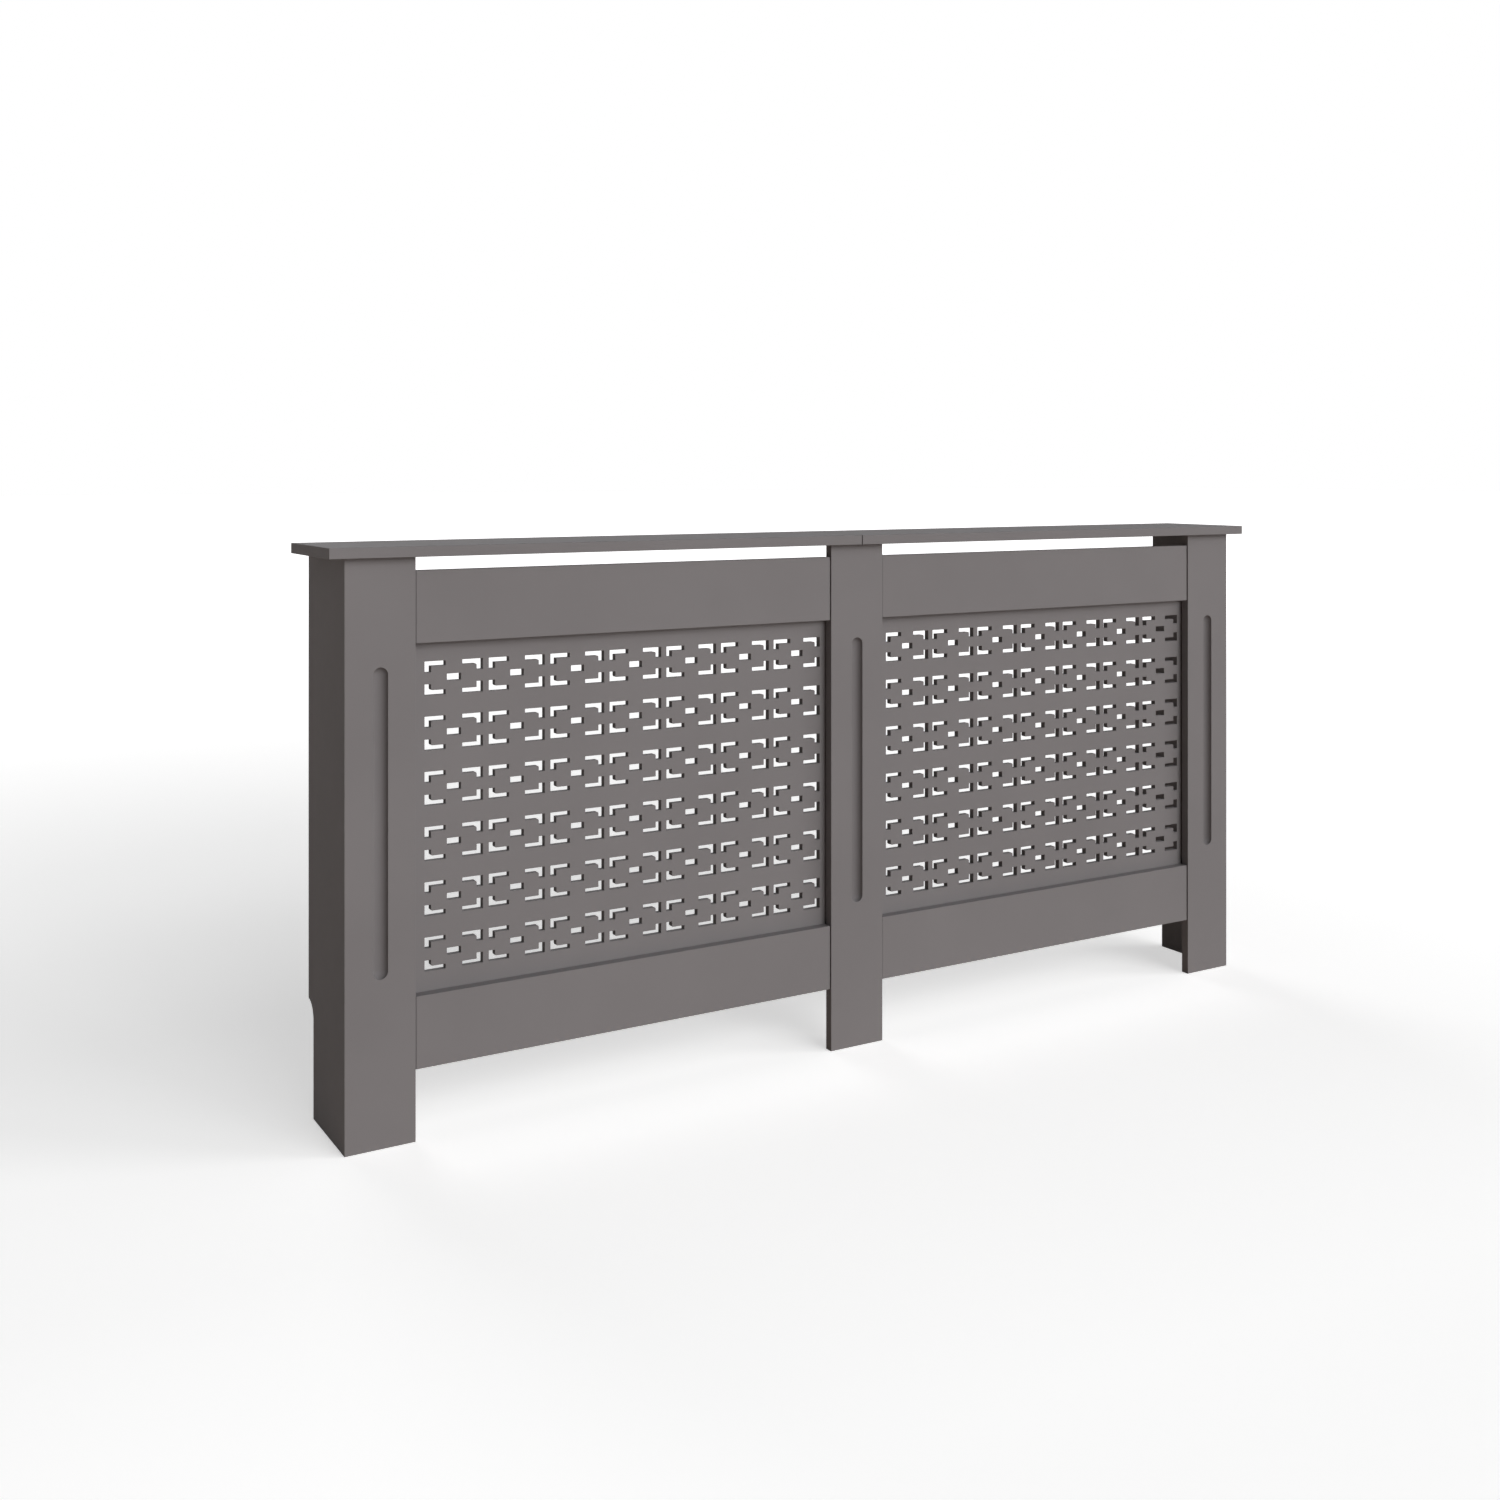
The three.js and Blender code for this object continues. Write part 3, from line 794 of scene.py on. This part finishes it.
for place, board_side in (
    ("left", LEFT), ("right", RIGHT), ("centre_left", FRONT), ("centre_right", FRONT),
):
    screw_node(f"shelf_bracket_screw_{place}_up", UP)
    screw_node(f"shelf_bracket_screw_{place}_side", board_side)
for hand, board_side in (("left", LEFT), ("right", RIGHT)):
    screw_node(f"wall_bracket_screw_{hand}", board_side)
    for number, seat in enumerate(grille_screw_seats(hand), start=1):
        screw(f"grille_screw_{hand}_{number}", seat, FRONT)
for number in range(1, JOINING_PLATE_SCREWS + 1):
    screw_node(f"joining_plate_screw_{number}", UP)


# ------------------------------------------------------------------ brackets and joining plate

def rounded_rectangle(low_u, low_v, high_u, high_v, radius):
    points = []
    corners = (
        (high_u - radius, high_v - radius, 0.0),
        (low_u + radius, high_v - radius, 0.5),
        (low_u + radius, low_v + radius, 1.0),
        (high_u - radius, low_v + radius, 1.5),
    )
    for u, v, start in corners:
        for step in range(CORNER_STEPS + 1):
            angle = (start + step / CORNER_STEPS / 2) * math.pi
            points.append((u + radius * math.cos(angle), v + radius * math.sin(angle)))
    return points


def hole(u, v, radius):
    angles = [2 * math.pi * step / BORE_SIDES for step in range(BORE_SIDES)]
    return [(u + radius * math.cos(a), v + radius * math.sin(a)) for a in angles]


def folded_strip(flange, hanger, width, flange_hole, flange_hole_radius, hanger_hole):
    """A steel strip folded square, as pressed: its outer corner is at the origin, the flange runs
    along +X under z = 0 and the hanger runs down -Z beside x = 0."""
    outer = FOLD_INNER_RADIUS + BRACKET_SHEET
    fold = (outer - BRACKET_SHEET / 2) * math.pi / 2
    holes = [
        hole(outer - flange_hole, 0, flange_hole_radius),
        hole(fold + hanger_hole - outer, 0, SCREW_SHANK_RADIUS + BORE_CLEARANCE),
    ]
    outline = rounded_rectangle(
        outer - flange, -width / 2, fold + hanger - outer, width / 2, BRACKET_CORNER,
    )
    mesh = plate(outline, "z", 0.0, BRACKET_SHEET, BRACKET_EDGE, holes)
    strip = bmesh.new()
    strip.from_mesh(mesh)
    for step in range(FOLD_STEPS + 1):
        bmesh.ops.bisect_plane(
            strip, geom=[*strip.verts, *strip.edges, *strip.faces], dist=SAME_PLANE,
            plane_co=(fold * step / FOLD_STEPS * MM, 0, 0), plane_no=(1, 0, 0),
        )
    for vert in strip.verts:
        u, v, w = vert.co / MM
        angle = min(max(u / fold, 0.0), 1.0) * math.pi / 2
        radius = outer - w
        vert.co = Vector((
            outer - radius * math.sin(angle) - min(u, 0.0),
            v,
            -outer + radius * math.cos(angle) - max(u - fold, 0.0),
        )) * MM
    bmesh.ops.recalc_face_normals(strip, faces=strip.faces)
    strip.to_mesh(mesh)
    strip.free()
    return mesh


def bracket(node, flange_way, hanger_way, flange_hole_radius, flange_hole, hanger_hole):
    """The bracket of a CAD node. Its flange and hanger run along two directions from its corner."""
    low, high = node_box(node)
    size = high - low
    corner = (low + high) / 2
    for way in (flange_way, hanger_way):
        for i in range(3):
            if way[i]:
                corner[i] = low[i] if way[i] > 0 else high[i]
    flange_axis = Vector(flange_way)
    up_axis = -Vector(hanger_way)
    width_axis = up_axis.cross(flange_axis)
    turn = Matrix((flange_axis, width_axis, up_axis)).transposed().to_4x4()
    flange, hanger, width = [
        sum(abs(way[i]) * size[i] for i in range(3))
        for way in (flange_way, hanger_way, width_axis)
    ]
    mesh = folded_strip(flange, hanger, width, flange_hole, flange_hole_radius, hanger_hole)
    place = Matrix.Translation(corner * MM) @ turn
    smooth(placed(f"pressed_{node}", mesh, "zinced_steel", [node], place))


for place, flange_way in (
    ("left", RIGHT), ("right", LEFT), ("centre_left", BACK), ("centre_right", BACK),
):
    bracket(
        f"shelf_bracket_{place}", flange_way, DOWN, SCREW_SHANK_RADIUS + BORE_CLEARANCE,
        SHELF_BRACKET_HOLE, SHELF_BRACKET_HOLE,
    )
for hand, flange_way in (("left", RIGHT), ("right", LEFT)):
    bracket(
        f"wall_bracket_{hand}", flange_way, FRONT, WALL_SCREW_HOLE_RADIUS,
        WALL_SCREW_HOLE, WALL_BRACKET_HOLE,
    )


def joining_plate(node):
    """The flat plate across the shelf's seam, its holes round the middles of its screws."""
    low, high = node_box(node)
    numbers = range(1, JOINING_PLATE_SCREWS + 1)
    screws = [node_box(f"{node}_screw_{number}") for number in numbers]
    middles = [(start + end) / 2 for start, end in screws]
    holes = [hole(m.x, m.y, SCREW_SHANK_RADIUS + BORE_CLEARANCE) for m in middles]
    outline = rounded_rectangle(low.x, low.y, high.x, high.y, BRACKET_CORNER)
    mesh = plate(outline, "z", low.z, high.z, BRACKET_EDGE, holes)
    smooth(add_piece(f"pressed_{node}", mesh, "zinced_steel", [node]))


joining_plate("joining_plate")


# ------------------------------------------------------------------ floor, lamps and camera

def highest_node(nodes, links, values):
    """The highest of two or more values."""
    highest = values[0]
    for value in values[1:]:
        larger = nodes.new("ShaderNodeMath")
        larger.operation = "MAXIMUM"
        links.new(highest, larger.inputs[0])
        links.new(value, larger.inputs[1])
        highest = larger.outputs["Value"]
    return highest


def seen_rays(nodes, links):
    """1 where the camera, a mirror or a glass looks, and 0 for the light that falls on things."""
    path = nodes.new("ShaderNodeLightPath")
    rays = ("Is Camera Ray", "Is Glossy Ray", "Is Transmission Ray")
    return highest_node(nodes, links, [path.outputs[ray] for ray in rays])


# The floor glows by FLOOR_GLOW near the cabinet. Each rise is the glow that it reaches and the two
# places, in metres, between which it rises: far from the origin, to the front in Y and to the right
# in X. The rises to the front and to the right are painted light, a floor made brighter there as if
# more light fell on it. FLOOR_SHADE is how white the floor looks where the lamps light it, and
# FLOOR_BOUNCE is the colour that it has for the light it throws on things.
FLOOR_RADIUS = 60.0
FLOOR_SHADE = 1.0
FLOOR_BOUNCE = (0.84, 0.68, 0.58)
FLOOR_GLOW = 0.52
FAR_GLOW = (1.0, 2.0, 9.0)
# Painted light: the floor glows brighter towards the front and towards the right.
FRONT_PAINTED_LIGHT = (0.60, -0.35, -1.0)
RIGHT_PAINTED_LIGHT = (0.62, 0.7, 1.6)


def glow_strength(nodes, links):
    """How much the floor glows: the highest of its three rises, those to the front and right being
    painted light.
    """
    place = nodes.new("ShaderNodeTexCoord").outputs["Object"]
    distance = nodes.new("ShaderNodeVectorMath")
    distance.operation = "LENGTH"
    links.new(place, distance.inputs[0])
    axes = nodes.new("ShaderNodeSeparateXYZ")
    links.new(place, axes.inputs[0])
    return highest_node(nodes, links, [
        range_node(nodes, links, distance.outputs["Value"], FLOOR_GLOW, *FAR_GLOW),
        range_node(nodes, links, axes.outputs["Y"], FLOOR_GLOW, *FRONT_PAINTED_LIGHT),
        range_node(nodes, links, axes.outputs["X"], FLOOR_GLOW, *RIGHT_PAINTED_LIGHT),
    ])


def floor():
    """A white floor that keeps the shadow at part of its depth, as a lit studio floor does, with
    painted light that makes it brighter to the front and to the right.
    """
    mesh = bpy.data.meshes.new("floor")
    size = FLOOR_RADIUS
    mesh.from_pydata(
        [(-size, -size, 0), (size, -size, 0), (size, size, 0), (-size, size, 0)], [], [(0, 1, 2, 3)]
    )
    ground = bpy.data.objects.new("floor", mesh)
    bpy.context.scene.collection.objects.link(ground)
    material = bpy.data.materials.new("floor")
    material.use_nodes = True
    nodes = material.node_tree.nodes
    links = material.node_tree.links
    nodes.clear()
    seen = seen_rays(nodes, links)
    plain = nodes.new("ShaderNodeBsdfDiffuse")
    plain.inputs["Color"].default_value = (*FLOOR_BOUNCE, 1)
    shaded = nodes.new("ShaderNodeBsdfDiffuse")
    shaded.inputs["Color"].default_value = (FLOOR_SHADE, FLOOR_SHADE, FLOOR_SHADE, 1)
    glow = nodes.new("ShaderNodeEmission")
    links.new(glow_strength(nodes, links), glow.inputs["Strength"])
    both = nodes.new("ShaderNodeAddShader")
    links.new(shaded.outputs[0], both.inputs[0])
    links.new(glow.outputs[0], both.inputs[1])
    mix = nodes.new("ShaderNodeMixShader")
    links.new(seen, mix.inputs["Fac"])
    links.new(plain.outputs[0], mix.inputs[1])
    links.new(both.outputs[0], mix.inputs[2])
    out = nodes.new("ShaderNodeOutputMaterial")
    links.new(mix.outputs[0], out.inputs["Surface"])
    mesh.materials.append(material)


def world():
    """Seen white, without lighting the object."""
    sky = bpy.data.worlds.new("studio")
    sky.use_nodes = True
    bpy.context.scene.world = sky
    nodes = sky.node_tree.nodes
    links = sky.node_tree.links
    seen = seen_rays(nodes, links)
    links.new(seen, nodes["Background"].inputs["Strength"])
    nodes["Background"].inputs["Color"].default_value = (1, 1, 1, 1)


# Soft boxes far from the cabinet: name, azimuth from the front towards the right and elevation in
# degrees, and strength. A white face square to a lamp of strength 1 renders white. LAMP_SPREAD is
# the angle that each of them fills, in degrees.
LAMP_SPREAD = 26.0
LAMPS = (
    ("front", 0, 25, 0.214),
    ("front_low", 15, 8, 0.333),
    ("front_right", 30, 25, 0.172),
    ("right", 60, 25, 0.266),
    ("far_right", 90, 8, 0.1),
    ("back", 180, 25, 0.15),
)


def lamp(name, azimuth, elevation, strength):
    data = bpy.data.lights.new(name, "SUN")
    data.angle = math.radians(LAMP_SPREAD)
    data.energy = strength * math.pi
    light = bpy.data.objects.new(name, data)
    turn, rise = math.radians(azimuth), math.radians(elevation)
    towards = Vector((
        math.sin(turn) * math.cos(rise), -math.cos(turn) * math.cos(rise), math.sin(rise),
    ))
    light.rotation_euler = towards.to_track_quat("Z", "Y").to_euler()
    light.location = towards * FLOOR_RADIUS
    bpy.context.scene.collection.objects.link(light)


def camera():
    data = bpy.data.cameras.new("camera")
    data.sensor_width = CAMERA_SENSOR
    data.lens = CAMERA_LENS
    data.shift_y = CAMERA_SHIFT_Y
    data.clip_end = CAMERA_REACH
    eye = bpy.data.objects.new("camera", data)
    eye.location = CAMERA_PLACE
    eye.rotation_euler = (math.radians(90), 0, math.radians(CAMERA_TURN))
    bpy.context.scene.collection.objects.link(eye)
    bpy.context.scene.camera = eye


floor()
world()
for settings in LAMPS:
    lamp(*settings)
camera()
bpy.context.scene.view_settings.view_transform = "Standard"
